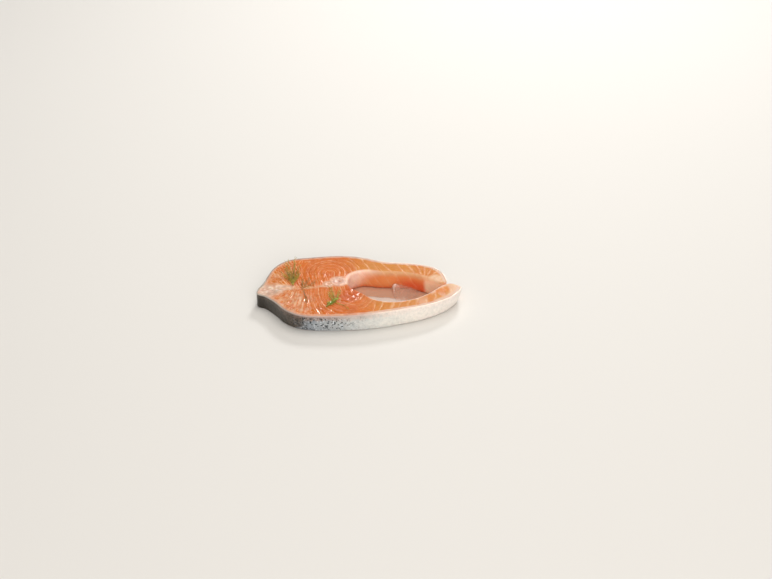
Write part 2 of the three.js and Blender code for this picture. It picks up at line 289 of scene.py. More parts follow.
# far back muscle: rings round its core
CORE = np.array([-24.4, 21])
RINGS = 5
angles = np.radians(np.linspace(198, -18, 10))
rings = []
for ring in range(RINGS):
    reach = np.array([4.2 + 5.05 * ring, 4.4 + 5.8 * ring])
    rings.append(through(CORE + reach * np.stack([np.cos(angles), np.sin(angles)], 1), 3))
# left of them: slanting flakes from the seam up to the skin
slants = []
for flake in range(6, -3, -1):
    seam_end = (-68.5 + 3.75 * flake, 5 + 0.35 * flake)
    middle = (-74.5 + 3.9 * flake, 13 + 2.65 * flake)
    rim_end = (-79 + 4.1 * flake, 23 + 4.1 * flake)
    slants.append(through([seam_end, middle, rim_end]))
# right of them: the far belly flap, whose flakes lean and then turn to a fan
far_flap = all_through([
    [(-5.5, 46), (0.5, 34), (4, 22)],
    [(6.5, 41), (11, 29), (13.5, 19)],
    [(15, 38.5), (18.5, 26.5), (21.5, 18.5)],
    [(23, 36.5), (28.5, 25.5), (33.5, 17.5)],
    [(37, 33.5), (39.5, 24.5), (43.5, 17)],
    [(44.5, 32), (49, 23), (53, 14)],
    [(53.5, 30.5), (56, 23), (57, 12)],
    [(61.5, 27.5), (61, 19.5), (59.5, 11)],
    [(68.5, 24.5), (65.5, 18.5), (61.5, 10.5)],
    [(73.5, 20), (69.5, 15.5), (64, 9.5)],
])
# near half: a fan under the seam, which turns into arcs round the second core
near_half = all_through([
    [(-68.5, -2), (-76, -11), (-82, -16)],
    [(-64, -0.5), (-70, -12.5), (-76.5, -19.5)],
    [(-59.5, 1.5), (-64.5, -13.5), (-71.5, -27)],
    [(-55.5, 2), (-59.5, -17), (-67.5, -34)],
    [(-52.5, 1.5), (-56, -20), (-62, -38)],
    [(-49.5, -0.5), (-52, -23.5), (-56.5, -42.5)],
    [(-47, -1.5), (-48.5, -24), (-50.5, -45)],
    [(-44.5, -2), (-45.5, -18), (-44.5, -36), (-43, -47)],
    [(-42, -1.5), (-42.3, -19), (-39.5, -37), (-35.5, -49)],
    [(-39.3, -1), (-39, -19), (-35.5, -36.5), (-28, -49)],
    [(-36, 0), (-35.7, -19), (-31.5, -35), (-23.5, -45.5), (-12, -51.5)],
    [(-32, 0.5), (-32.2, -19.5), (-28, -33.5), (-19.5, -42), (-8, -46.3), (4, -49.5)],
    [(-28, -1), (-27.8, -19.5), (-23.8, -32.5), (-15.5, -39.5), (-6, -42.3), (3, -39), (8.5, -31)],
    [(-22.5, -3), (-21.8, -18.5), (-18, -29.5), (-11, -35.2), (-3.5, -35.3), (2.5, -31), (6, -24)],
    [(-16.8, -5.5), (-15.3, -17.5), (-11.4, -26.3), (-5.2, -28.5), (0.3, -24.5), (3, -17.5)],
    [(-12.3, -6.5), (-10.6, -14.5), (-7.4, -19.8), (-3.4, -20), (-0.6, -14.5)],
])
# right of them: the near belly flap
NEAR_FLAP_START = 12
NEAR_FLAKES_START = 40  # keeps the near half's flake numbers apart from the far half's
near_flap = all_through([
    [(13.5, -25.8), (11.9, -33), (9.1, -46.1), (6.5, -51)],
    [(20, -28.4), (18.4, -36), (13.7, -50.6)],
    [(28.8, -30.3), (25.7, -39.4), (21.1, -49)],
    [(36, -29.5), (33, -38), (29.5, -47.5)],
    [(43.5, -27.5), (41, -36), (38, -45.5)],
    [(51, -24), (48.5, -33), (46, -43.5)],
    [(59.5, -19.5), (57.5, -29), (55.5, -41)],
    [(66.5, -14.5), (65.5, -25), (62, -38)],
    [(73.5, -9), (75, -18), (71, -34)],
])
below_top = np.clip(THICKNESS - places[:, 2], 0, None) * step(from_belly, 2.5, 1.0)
leaning = plan + below_top[:, None] * [-WALL_LEAN, 0.5]
left_place = between(leaning, rings + slants, BACK_FLAKE)
right_place = between(leaning, rings + far_flap, FLAP_FLAKE)
near_place = between(plan, near_half, BACK_FLAKE)
near_flap_place = between(plan, near_flap, FLAP_FLAKE)
in_near_flap = near_flap_place[0] > -0.4
near_flap_place[0][:] += NEAR_FLAP_START
near_place = [np.where(in_near_flap, flap, fan) for flap, fan in zip(near_flap_place, near_place)]
# the seam between the two halves, from the back fin to the belly
seam = through([(-84, 1.5), (-62.5, 2.5), (-48.6, -0.5), (-36.4, 1.4), (-27.5, 3.8), (-17.5, 4), (-4, -6)])
seam_side = beside(plan, seam)[0]
is_left = plan[:, 0] < -25  # of the far muscle's core
is_near = seam_side < 0
is_near[plan[:, 0] > 0] = plan[plan[:, 0] > 0, 1] < -1.5
flake_place = np.stack(
    [
        np.where(is_near, near, np.where(is_left, left, right))
        for left, right, near in zip(left_place, right_place, near_place)
    ],
    1,
)
flake_place[is_near, 0] += NEAR_FLAKES_START

# the upper face: its swells, flakes that stand a little higher or lower, sunken septa and, where
# it is wettest, ridges of juice
phase, along, apart = flake_place.T
from_septum = np.abs(phase - np.round(phase)) * apart
flake_number = np.floor(phase)
rank = np.modf(np.sin(flake_number * 12.9898) * 43758.5453)[0]  # a chance number for each flake
lean = (phase - flake_number - 0.5) * np.clip(apart / 6, 0, 1)
calm = np.clip(np.minimum(from_septum / 0.8, 1), 0, 1)
fat_patch = np.maximum(blob(plan, -82, 0, 17, 12), blob(plan, -70, 3, 15, 5))
seam_band = step(np.abs(seam_side), 2.6, 0.5) * step(plan[:, 0], -24, -34) * step(plan[:, 0], -74, -64)
lumps = clouds(places, 4.5, 3)
fine_lumps = clouds(places, 1.5, 8)
relief = (FLAKE_STEP * rank + FLAKE_TILT * lean) * calm
relief = relief - SEPTUM_DEPTH * np.exp(-((from_septum / SEPTUM_REACH) ** 2))
relief = relief * (1 - 0.8 * fat_patch) * (1 - 0.7 * seam_band) - SEAM_DEPTH * seam_band
WET_PATCHES = [  # how wet, and where: middle, reach along X and Y, and turn
    (0.8, (-8, -16, 9, 17, -20)),
    (0.8, (-24, -27, 7, 7)),
    (0.8, (-73, 17, 15, 10, 40)),
    (0.9, (-64, -28, 18, 7, -42)),
    (0.9, (-37, -41, 22, 6, -8)),
    (0.85, (-55, -20, 17, 15)),
    (0.5, (-35, 12, 6, 12)),
    (0.3, (-55, 9, 7, 5)),
]
juicy = sum(amount * blob(plan, *where) for amount, where in WET_PATCHES)
juicy = np.clip(juicy + 0.3 * seam_band, 0, 1)
ridges = clouds(np.stack([phase * 1.3, along * 0.2, flake_number * 0.37], 1), 1, 15)
relief = relief + LUMP * lumps + FAT_LUMP * fat_patch * clouds(places, 3.2, 57)
relief = relief + (0.05 + 0.08 * juicy) * fine_lumps + JUICE_RIDGE * juicy * ridges
rim = np.minimum(np.minimum(from_skin, from_belly), from_bone + 0.8)


def rounding(distance, radius):
    """How far a rounded edge has fallen, at a distance from the edge."""
    return radius - np.sqrt(np.clip(radius**2 - np.clip(radius - distance, 0, None) ** 2, 0, None))


fall = np.maximum(rounding(from_skin, SKIN_ROUNDING), rounding(from_belly, BELLY_ROUNDING))
top = top_at(plan[:, 0], plan[:, 1]) - fall + relief * step(rim, 0, 1.6)
upward = step(normals[:, 2], 0.25, 0.6)
downward = step(-normals[:, 2], 0.5, 0.9)
places[:, 2] += upward * (top - places[:, 2])
bottom = np.clip(0.12 + 0.3 * np.exp(-((from_septum / 0.8) ** 2)) + 0.12 * lumps, 0, None) * step(rim, 0.8, 3)
places[:, 2] += downward * (bottom + fall * 0.8 - places[:, 2])
# the walls: they meet the skin, and the belly's side is uneven
sideways = 1 - np.maximum(upward, downward)
skin_side = (to_skin < AT_SKIN) & (np.abs(normals[:, 2]) < 0.7)
belly_side = sideways * step(from_belly, 1.2, 0.5)
flat_normals = normals * [1, 1, 0]
bulge = clouds(places, 7, 21) * 0.35 + fine_lumps * 0.06 - 0.16 * np.exp(-((from_septum / 0.7) ** 2))
places += flat_normals * (belly_side * bulge)[:, None]
places[skin_side] += flat_normals[skin_side] * SKIN_GAP
bone_side = (near_bone < AT_BONE) & (np.abs(normals[:, 2]) < 0.7)
places[bone_side] += flat_normals[bone_side] * BONE_GAP
places = relaxed(places, edges, 1)
# the far rim of the belly is worn soft and round
far_side = step(plan[:, 1] - 0.12 * plan[:, 0], -9, -3)
soft_rim = step(from_belly, 5.5, 1.5) * step(places[:, 2], 6, 10) * far_side
soft_rim = soft_rim * step(np.abs(from_bone), 0.6, 2.0) * step(from_skin, 1.5, 4)
places = relaxed(places, edges, 30, 0.6 * soft_rim[:, None])
places[:, 2] = np.maximum(places[:, 2], 0)
write_places(flesh.data, places)


def linear(colour):
    """An sRGB hex colour as linear red, green and blue."""
    values = [int(colour[k : k + 2], 16) / 255 for k in (1, 3, 5)]
    return [v / 12.92 if v <= 0.04045 else ((v + 0.055) / 1.055) ** 2.4 for v in values]


def store(mesh, name, kind, values):
    """Keeps a value for each vertex as an attribute that the material reads."""
    field = {"FLOAT": "value", "FLOAT_VECTOR": "vector", "FLOAT_COLOR": "color"}[kind]
    layer = mesh.attributes.new(name, kind, "POINT")
    layer.data.foreach_set(field, np.asarray(values, float).ravel())


# colour of the muscle from place to place, without its lines, from orange to pale fat
DEEP_ORANGE = "#D46C16"
FLAP_ORANGE = "#D08226"
FAR_FLAP_ORANGE = "#D08428"
RED_ORANGE = "#C85600"
DARK_ORANGE = "#A8480A"
PALE_FAT = "#D8B59C"
MILKY_FAT = "#F2DCCB"
BONE_FAT = "#E6B69C"
BROWN_MARK = "#94706C"
SKIN_MARGIN = "#DFBFAC"
PEACH = "#E3BC9A"
PINK_FLAKE = "#E0AA88"
PALE_STREAK = "#EBC4A6"
WALL_PINK = "#FFDECC"
WALL_ORANGE = "#E8945A"
WALL_RED = "#E2683E"
SEAM_CREAM = "#EBC48E"
FAN_ORANGE = "#CC7614"
GOLDEN = "#D87C16"
WALL_TIP = "#FFD8B8"
# a painted glint along the wet inner rim of the near belly flap
PAINTED_RIM_GLINT = "#F0D4C0"
x, y = plan.T
tint = np.tile(linear(DEEP_ORANGE), (len(plan), 1))


def paint(colour, amount):
    """Lays a colour over the tint, at each vertex by its own amount."""
    tint[:] = tint + np.clip(amount, 0, 1)[:, None] * (np.array(linear(colour)) - tint)


# the flaps are more golden than the back
drift = clouds(places, 14, 40)
paint(FLAP_ORANGE, is_near * step(x + 6 * drift, -6, 22))
paint(FAR_FLAP_ORANGE, ~is_near * step(x + 6 * drift, -16, 16))
paint(FLAP_ORANGE, 0.35 * blob(plan, -68, 14, 14, 20, 30))
flap = np.where(is_near, step(x, 6, 24), step(x, -4, 16))
# pale bundles of fibre towards the skin, and pale flakes on the flaps
paint(PEACH, 0.2 * blob(plan, -57, -26, 17, 15, -40) * (0.7 + 0.5 * lumps))
bundles = step(clouds(np.stack([phase * 2.2, along * 0.13, flake_number * 0.37], 1), 1, 33), 0.0, 0.4)
streaked = np.maximum(blob(plan, -58, -24, 22, 17, -40), 0.55 * blob(plan, -70, 16, 17, 12, 40))
paint(PALE_STREAK, 0.6 * bundles * streaked)
paint(PEACH, 0.15 * flap * np.clip(rank, 0, 1) * step(from_belly, 0.5, 3))
# redder meat in the middle of each muscle
paint(RED_ORANGE, 0.6 * blob(plan, -24, 18.5, 6, 5) * (0.7 + 0.5 * lumps))
paint(RED_ORANGE, 0.95 * blob(plan, -8.5, -14, 9, 18, -20) * (0.85 + 0.4 * lumps))
paint(RED_ORANGE, 0.4 * blob(plan, -20, -34, 16, 9, -25))
paint(RED_ORANGE, 0.5 * blob(plan, -8, -15, 11, 17, -20) * step(clouds(places, 5, 71), 0.0, 0.4))
paint(DARK_ORANGE, 0.3 * step(clouds(places, 8, 72), 0.1, 0.5) * (1 - flap) * step(x, -74, -60))
paint(RED_ORANGE, 0.8 * blob(plan, -54.5, 8.6, 4, 3.6))
# fat: the mottled patch under the back fin, and what holds the backbone
paint(PALE_FAT, fat_patch * (0.9 + 0.3 * lumps))
mottles = clouds(places * [1, 1.6, 1], 2.6, 52)
paint(MILKY_FAT, 0.75 * fat_patch * step(mottles, 0.05, 0.35))
paint(BROWN_MARK, 0.3 * fat_patch * step(mottles, -0.15, -0.4))
paint(BROWN_MARK, 0.7 * blob(plan, -75, -1, 3.4, 1.6) * step(fine_lumps, -0.1, 0.2))
paint(BONE_FAT, 0.75 * step(from_bone, 2.4, 0.4))
paint(BONE_FAT, 0.8 * blob(plan, -30, 2, 6, 2.4, 12))
# the ends of the flaps: pale tips, golden flakes between them and the far flap's fan
paint(PINK_FLAKE, 0.6 * blob(plan, 53.5, -33, 5.5, 12, 12))
paint(PINK_FLAKE, 0.7 * blob(plan, 71.5, -19, 3.2, 6.5, 20))
flap_end = blob(plan, 69.5, 5.5, 9, 7.5, 35)
paint(PEACH, 0.9 * flap_end)
near_tip = is_near * step(x, 60, 66)
paint(PEACH, 0.85 * near_tip * step(np.minimum(from_skin, from_belly) + 0.6 * lumps, 4.5, 2.5))
paint(PEACH, 0.9 * step(x, 77, 81) * is_near)
paint(GOLDEN, 0.95 * blob(plan, 72.5, -13.5, 8, 5.2, 25) * (0.9 + 0.3 * lumps))
paint(GOLDEN, 0.5 * blob(plan, 61, -26, 3.2, 8, 10))
paint(SEAM_CREAM, 0.9 * blob(plan, -45, 1.2, 4, 2))
in_fan = step(x, 46, 56) * ~is_near
paint(FAN_ORANGE, 0.45 * in_fan * (1 - flap_end))
paint(FAN_ORANGE, 0.95 * in_fan * step(lean, -0.3, 0.2) * (1 - flap_end))
paint(FAN_ORANGE, 0.3 * flap * step(lean, 0, 0.4) * ~is_near)
# the rims: fat under the skin, and the belly's edge, where pale bands are partly painted highlights
margin = step(from_skin + 0.5 * lumps, 2.4, 1.0)
paint(SKIN_MARGIN, margin * np.where(x > -5, 0.9, 0.6))
# a peach band along the far belly rim: partly the rim's own peach tone, partly a painted highlight on its
# rounded edge
paint(PEACH, 0.5 * step(from_belly, 4.5, 2) * step(x, 2, 14) * ~is_near)
# painted highlight: a pale band along the near flap's wet inner rim, standing in for its glint
paint(PAINTED_RIM_GLINT, 0.9 * step(from_belly + 0.5 * lumps, 2.3, 0.9) * is_near * step(x, 2, 12))
# the belly's lining, pink at its back end, red where it is deep and pale at its tip
depth = np.clip(places[:, 2] / THICKNESS, 0, 1)
lining = step(from_belly, 3.0, 1.2) * step(depth + 0.04 * lumps, 0.97, 0.7)
paint(WALL_ORANGE, lining)
pink_end = step(x + 5 * drift + below_top, 26, 4) * step(x + 2 * y, -10, 0) * step(y, -8, -2)
paint(WALL_PINK, 0.95 * step(from_belly, 4.5, 1.5) * pink_end)
paint(WALL_RED, lining * step(x + 3 * drift, 26, 46) * step(depth, 0.95, 0.3))
paint(WALL_RED, 0.6 * lining * step(depth, 0.3, 0.05))
paint(WALL_TIP, 0.9 * lining * step(x + drift, 57.5, 61))
store(flesh.data, "tint", "FLOAT_COLOR", np.column_stack([tint, np.ones(len(tint))]))
flake_place[:, 2] *= 1 - 0.58 * flap
store(flesh.data, "flake", "FLOAT_VECTOR", flake_place)
# where lines and the speckles (grain and painted sparkle) fade: in fat, in the smooth core by the backbone
# and on the flaps
fatty = fat_patch + 0.85 * blob(plan, -8, -14, 9, 15, -18) + 0.38 * flap
fatty = fatty + 0.9 * blob(plan, 69.5, 5.5, 8, 6.5, 35) + step(x, 80, 86) + 0.35 * lining
store(flesh.data, "fatty", "FLOAT", np.clip(fatty, 0, 1))
streaky = np.where(is_near, step(x, 2, -14), step(x, -6, -22)) * (1 - 0.5 * blob(plan, -20, 28, 22, 22))
streaky = streaky + step(x, -44, -60) + is_near * step(x, -28, -44) * step(from_skin, 12, 3)
store(flesh.data, "streaky", "FLOAT", np.clip(streaky, 0, 2))
store(flesh.data, "seam", "FLOAT", seam_band)
wet = 0.15 * (1 - flap) + 0.85 * juicy - 0.1 * step(from_belly, 5, 2) + 0.3 * fat_patch
store(flesh.data, "wet", "FLOAT", np.clip(wet, 0, 1))


def material(name):
    """A new material, its node tree and the shader that its nodes feed."""
    made = bpy.data.materials.new(name)
    made.use_nodes = True
    return made, made.node_tree, made.node_tree.nodes["Principled BSDF"]


def feed(node, inputs):
    """Gives each input a value, an sRGB hex colour or an output. A node itself stands for its
    first live output."""
    for name, value in inputs.items():
        if isinstance(value, bpy.types.Node):
            value = next(output for output in value.outputs if output.enabled)
        if isinstance(value, bpy.types.NodeSocket):
            node.id_data.links.new(value, node.inputs[name])
        else:
            node.inputs[name].default_value = linear(value) + [1] if isinstance(value, str) else value


def add(tree, kind, inputs, stops=(), **settings):
    """Adds a shader node with its settings and what its inputs get. The stops are a colour
    ramp's, each with its place and an sRGB hex colour or a grey."""
    made = tree.nodes.new("ShaderNode" + kind)
    for name, value in settings.items():
        setattr(made, name, value)
    for number, (position, colour) in enumerate(stops):
        elements = made.color_ramp.elements
        last = number == len(stops) - 1
        stop = elements[-1] if last else elements.new(position) if number else elements[0]
        stop.position = position
        stop.color = linear(colour) + [1] if isinstance(colour, str) else (colour, colour, colour, 1)
    feed(made, inputs)
    return made


def dressed(piece, surface):
    """Gives a piece its one material, smoothly shaded."""
    piece.data.materials.clear()
    piece.data.materials.append(surface)
    piece.data.polygons.foreach_set("use_smooth", [True] * len(piece.data.polygons))


# Wet raw muscle: moist, a little see-through, with a film of juice that glints on its bumps.
muscle, tree, shader = material("wet raw muscle")
place = add(tree, "TexCoord", {}).outputs["Object"]
flake = add(tree, "Attribute", {}, attribute_name="flake").outputs["Vector"]
flake_parts = add(tree, "SeparateXYZ", {0: flake}).outputs
tint_here = add(tree, "Attribute", {}, attribute_name="tint").outputs["Color"]
fatty_here, wet_here, streaky_here, seam_here = [
    add(tree, "Attribute", {}, attribute_name=name).outputs["Fac"]
    for name in ("fatty", "wet", "streaky", "seam")
]
# septa: lines 0.25 to 0.75 mm wide at each whole number of the flake count, wavy and broken
wander = add(tree, "TexNoise", {"Vector": place, "Scale": 1 / (8 * MM), "Detail": 4.0, "Roughness": 0.65})
moved = add(tree, "MapRange", {"Value": wander, "To Min": -0.3, "To Max": 0.3})
spaced = add(tree, "TexNoise", {"W": flake_parts["X"], "Scale": 0.8, "Detail": 0.0}, noise_dimensions="1D")
unequal = add(tree, "MapRange", {"Value": spaced, "To Min": -0.3, "To Max": 0.3})
shifted = add(tree, "Math", {0: moved, 1: unequal}, operation="ADD")
wavy = add(tree, "Math", {0: flake_parts["X"], 1: shifted}, operation="ADD")
unevenly = add(tree, "TexNoise", {"Vector": place, "Scale": 1 / (3.5 * MM), "Detail": 2.0})
patchy = add(tree, "TexNoise", {"Vector": place, "Scale": 1 / (7 * MM), "Detail": 2.0})
lean_meat = add(tree, "Math", {0: 1.0, 1: fatty_here}, operation="SUBTRACT")


def septa(tree, count, apart, thin, thick, least, most):
    """How much fat shows at each point: lines at the whole numbers of a wavy flake count."""
    folded = add(tree, "Math", {0: count, 1: 0.5}, operation="PINGPONG")
    off_line = add(tree, "Math", {0: folded, 1: apart}, operation="MULTIPLY")
    width = add(
        tree, "MapRange",
        {"Value": unevenly, "From Min": 0.3, "From Max": 0.7, "To Min": thin, "To Max": thick},
    )
    line = add(
        tree, "MapRange", {"Value": off_line, "From Max": width, "To Min": 1.0, "To Max": 0.0},
        interpolation_type="SMOOTHSTEP",
    )
    strength = add(
        tree, "MapRange",
        {"Value": patchy, "From Min": 0.38, "From Max": 0.62, "To Min": least, "To Max": most},
    )
    number = add(tree, "Math", {0: count}, operation="ROUND")
    chance = add(tree, "TexWhiteNoise", {"W": number}, noise_dimensions="1D")
    faintest = add(tree, "MapRange", {"Value": streaky_here, "To Min": 0.75, "To Max": 0.15})
    own = add(tree, "MapRange", {"Value": chance, "To Min": faintest, "To Max": 1.25})
    shown = add(tree, "Math", {0: line, 1: strength}, operation="MULTIPLY")
    return add(tree, "Math", {0: shown, 1: own}, operation="MULTIPLY")


main_septa = septa(tree, wavy, flake_parts["Z"], 0.25, 0.75, 0.2, 0.85)
# thinner septa midway between two, in the back muscles only
half_count = add(tree, "Math", {0: wavy, 1: 0.5}, operation="ADD")
half_septa = septa(tree, half_count, flake_parts["Z"], 0.2, 0.6, 0.1, 0.75)
half_shown = add(tree, "Math", {0: half_septa, 1: streaky_here}, operation="MULTIPLY")
all_septa = add(tree, "Math", {0: main_septa, 1: half_shown}, operation="MAXIMUM")
line_shown = add(tree, "Math", {0: all_septa, 1: lean_meat}, operation="MULTIPLY")


def along_flakes(tree, finer, longer):
    """A place in which noise makes streaks that run along the flakes."""
    across = add(tree, "Math", {0: wavy, 1: finer}, operation="MULTIPLY")
    ahead = add(tree, "Math", {0: flake_parts["Y"], 1: longer}, operation="MULTIPLY")
    return add(tree, "CombineXYZ", {"X": across, "Y": ahead})


# bundles of fibre: fine pale streaks along the flakes, under 1 mm wide
streaks = add(tree, "TexNoise", {"Vector": along_flakes(tree, 6.0, 0.3), "Scale": 1.0, "Detail": 3.0})
streak_start = add(tree, "MapRange", {"Value": streaky_here, "From Max": 2.0, "To Min": 0.62, "To Max": 0.48})
streak_end = add(tree, "Math", {0: streak_start, 1: 0.16}, operation="ADD")
streak = add(
    tree, "MapRange", {"Value": streaks, "From Min": streak_start, "From Max": streak_end, "To Max": 0.62},
    interpolation_type="SMOOTHSTEP",
)
streak_shown = add(tree, "Math", {0: streak, 1: lean_meat}, operation="MULTIPLY")
# some flakes are darker than others, all are a little blotchy, and the grain has pale speckles, partly
# painted sparkle
flake_whole = add(tree, "Math", {0: wavy}, operation="FLOOR")
flake_chance = add(tree, "TexWhiteNoise", {"W": flake_whole}, noise_dimensions="1D")
flake_shade = add(tree, "MapRange", {"Value": flake_chance, "To Max": 0.16})
blotch = add(
    tree, "MapRange", {"Value": patchy, "From Min": 0.3, "From Max": 0.55, "To Min": 0.22, "To Max": 0.0}
)
darkening = add(tree, "Math", {0: blotch, 1: flake_shade}, operation="ADD")
shown_dark = add(tree, "Math", {0: darkening, 1: lean_meat}, operation="MULTIPLY")
grain = add(tree, "TexNoise", {"Vector": place, "Scale": 1 / (1.1 * MM), "Detail": 3.0, "Roughness": 0.6})
# painted sparkle: pale speckles where the wet grain would glint, partly the grain's own pale colour
grain_and_sparkle = add(tree, "MapRange", {"Value": grain, "From Min": 0.55, "From Max": 0.75, "To Max": 0.22})
grain_and_sparkle_shown = add(tree, "Math", {0: grain_and_sparkle, 1: lean_meat}, operation="MULTIPLY")
seam_amount = add(tree, "Math", {0: seam_here, 1: 0.6}, operation="MULTIPLY")
FAT_LINE, FIBRE_PALE, JUICY_DARK, SEAM_FAT = "#ECBE94", "#E6B082", "#B4551C", "#E5AD88"
muscle_colour = tint_here
for amount, over in [
    (shown_dark, JUICY_DARK), (grain_and_sparkle_shown, FIBRE_PALE), (streak_shown, FIBRE_PALE),
    (line_shown, FAT_LINE), (seam_amount, SEAM_FAT),
]:
    muscle_colour = add(tree, "Mix", {0: amount, 6: muscle_colour, 7: over}, data_type="RGBA")
# fibres stand out a little, and over them the juice lies as an uneven film
fibre_height = add(tree, "Math", {0: streaks, 1: 0.9}, operation="MULTIPLY")
height = add(tree, "Math", {0: fibre_height, 1: grain}, operation="ADD")
film = add(tree, "TexNoise", {"Vector": along_flakes(tree, 1.4, 0.2), "Scale": 1.0, "Detail": 1.5})
beads = add(
    tree, "MapRange", {"Value": film, "From Min": 0.36, "From Max": 0.7}, interpolation_type="SMOOTHSTEP"
)
film_height = add(tree, "Math", {0: beads, 1: wet_here}, operation="MULTIPLY")
feed(
    shader,
    {
        "Base Color": muscle_colour,
        "Normal": add(tree, "Bump", {"Height": height, "Strength": 0.55, "Distance": 0.35 * MM}),
        "Roughness": add(
            tree, "MapRange",
            {"Value": film, "From Min": 0.3, "From Max": 0.7, "To Min": 0.28, "To Max": 0.5},
        ),
        "IOR": 1.38, "Specular IOR Level": 0.25,
        "Subsurface Weight": 0.3, "Subsurface Radius": (1.0, 0.4, 0.2), "Subsurface Scale": 2.2 * MM,
        "Coat Weight": add(tree, "MapRange", {"Value": wet_here, "To Max": 0.65}),
        "Coat Roughness": 0.05, "Coat IOR": 1.5,
        "Coat Normal": add(tree, "Bump", {"Height": film_height, "Strength": 1.0, "Distance": 0.25 * MM}),
    },
)
dressed(flesh, muscle)
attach(flesh, "root")
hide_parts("flesh")

# ---------------------------------------------------------------------------------------------
# Skin: a band of scaled skin round the outside, left on the slice. It is almost black on the
# back of the fish, then blue-grey with black specks, and silver white on the belly.
skin = merged_copy("skin", "steak_skin")
shape = bmesh.new()
shape.from_mesh(skin.data)
bmesh.ops.join_triangles(
    shape, faces=shape.faces, cmp_seam=False, cmp_sharp=False, cmp_uvs=False, cmp_vcols=False,
    cmp_materials=False, angle_face_threshold=math.radians(30), angle_shape_threshold=math.radians(120),
)
shape.to_mesh(skin.data)
shape.free()
smooth = skin.modifiers.new("smooth", "SUBSURF")
smooth.levels = 3
smooth.render_levels = 3
applied(skin)
places = read(skin.data.vertices, "co", 3) / MM
normals = read(skin.data.vertices, "normal", 3)
outward = np.array([np.sign(n.dot(Vector(p) * MM)) for n, p in zip(map(Vector, normals), places)])
scales = clouds(places, 2.6, 60) * 0.12 + clouds(places, 9, 70) * 0.3
shown_side = step(outward * np.hypot(normals[:, 0], normals[:, 1]), 0.3, 0.8)
places += normals * (scales * shown_side)[:, None]
write_places(skin.data, places)
height_share = places[:, 2] / top_at(places[:, 0], places[:, 1])
store(skin.data, "band", "FLOAT_VECTOR", np.stack([places[:, 0], height_share, 1 - shown_side], 1))

# Wet fish skin: small overlapping scales under slime, silver from guanine, dark from pigment.
scaly, tree, shader = material("wet scaled fish skin")
place = add(tree, "TexCoord", {}).outputs["Object"]
band = add(tree, "Attribute", {}, attribute_name="band").outputs["Vector"]
band_parts = add(tree, "SeparateXYZ", {0: band}).outputs
drift_here = add(tree, "TexNoise", {"Vector": place, "Scale": 1 / (10 * MM), "Detail": 4.0, "Roughness": 0.6})
shift = add(tree, "MapRange", {"Value": drift_here, "To Min": -22.0, "To Max": 22.0})
zone = add(tree, "Math", {0: band_parts["X"], 1: shift}, operation="ADD")
ramp_place = add(tree, "MapRange", {"Value": zone, "From Min": -90.0, "From Max": 90.0})

# each colour's share of the way from the back to the belly
LOWER_SKIN = [
    (0.0, "#262017"), (0.1, "#342C20"), (0.17, "#544A40"), (0.25, "#92989E"), (0.4, "#BBBDBC"),
    (0.5, "#D2D2CE"), (0.6, "#E0DED7"), (0.75, "#F0E9E0"), (1.0, "#F6EBE2"),
]
UPPER_SKIN = [
    (0.0, "#3A3127"), (0.09, "#4E4237"), (0.17, "#6E5A50"), (0.3, "#9C8A83"), (0.42, "#B9A9A1"),
    (0.52, "#D2C6BE"), (0.62, "#E6DAD0"), (0.75, "#F2E7DE"), (1.0, "#F6EAE1"),
]
CUT_EDGE = [
    (0.0, "#B5AA9E"), (0.12, "#B0A096"), (0.25, "#B89E94"), (0.5, "#D0B4A8"), (0.6, "#F4E0D2"),
    (0.8, "#FFEADC"), (1.0, "#FFEADC"),
]
SPECKED = [(0.08, "#404040"), (0.17, "#FFFFFF"), (0.36, "#FFFFFF"), (0.52, "#303030"), (0.6, "#000000")]
mottle = add(tree, "TexNoise", {"Vector": place, "Scale": 1 / (2.5 * MM), "Detail": 4.0, "Roughness": 0.65})
mottled = add(tree, "MapRange", {"Value": mottle, "To Min": -0.3, "To Max": 0.3})
ragged_height = add(tree, "Math", {0: band_parts["Y"], 1: mottled}, operation="ADD")
upper = add(
    tree, "MapRange", {"Value": ragged_height, "From Min": 0.62, "From Max": 0.84},
    interpolation_type="SMOOTHSTEP",
)


def spots(tree, size, seed, share, most):
    """Round spots of uneven size, with about one spot in each cell of that many millimetres."""
    moved = add(tree, "VectorMath", {0: place, 1: (seed * MM, 0, 0)}, operation="ADD")
    wavy = add(tree, "TexNoise", {"Vector": moved, "Scale": 1 / (size * MM), "Detail": 2.0}).outputs["Color"]
    push = add(tree, "VectorMath", {0: wavy, "Scale": size * 0.8 * MM}, operation="SCALE")
    pushed = add(tree, "VectorMath", {0: moved, 1: push}, operation="ADD")
    cell = add(tree, "TexVoronoi", {"Vector": pushed, "Scale": 1 / (size * MM)})
    drawn = add(tree, "SeparateColor", {0: cell.outputs["Color"]})
    reach = add(tree, "MapRange", {"Value": drawn, "From Min": share, "To Max": most})
    inner = add(tree, "Math", {0: reach, 1: cell}, operation="SUBTRACT")
    return add(tree, "MapRange", {"Value": inner, "From Max": 0.1}, interpolation_type="SMOOTHSTEP")


# black pigment specks 1 to 2 mm across, thick on the flank and gone on the belly
flank = add(tree, "ValToRGB", {"Fac": ramp_place}, SPECKED)
below_rim = add(
    tree, "MapRange",
    {"Value": ragged_height, "From Min": 0.8, "From Max": 0.96, "To Min": 1.0, "To Max": 0.2},
)
speck_zone = add(tree, "Math", {0: flank, 1: below_rim}, operation="MULTIPLY")
specks = add(tree, "Math", {0: spots(tree, 1.6, 0, 0.2, 0.7), 1: speck_zone}, operation="MULTIPLY")
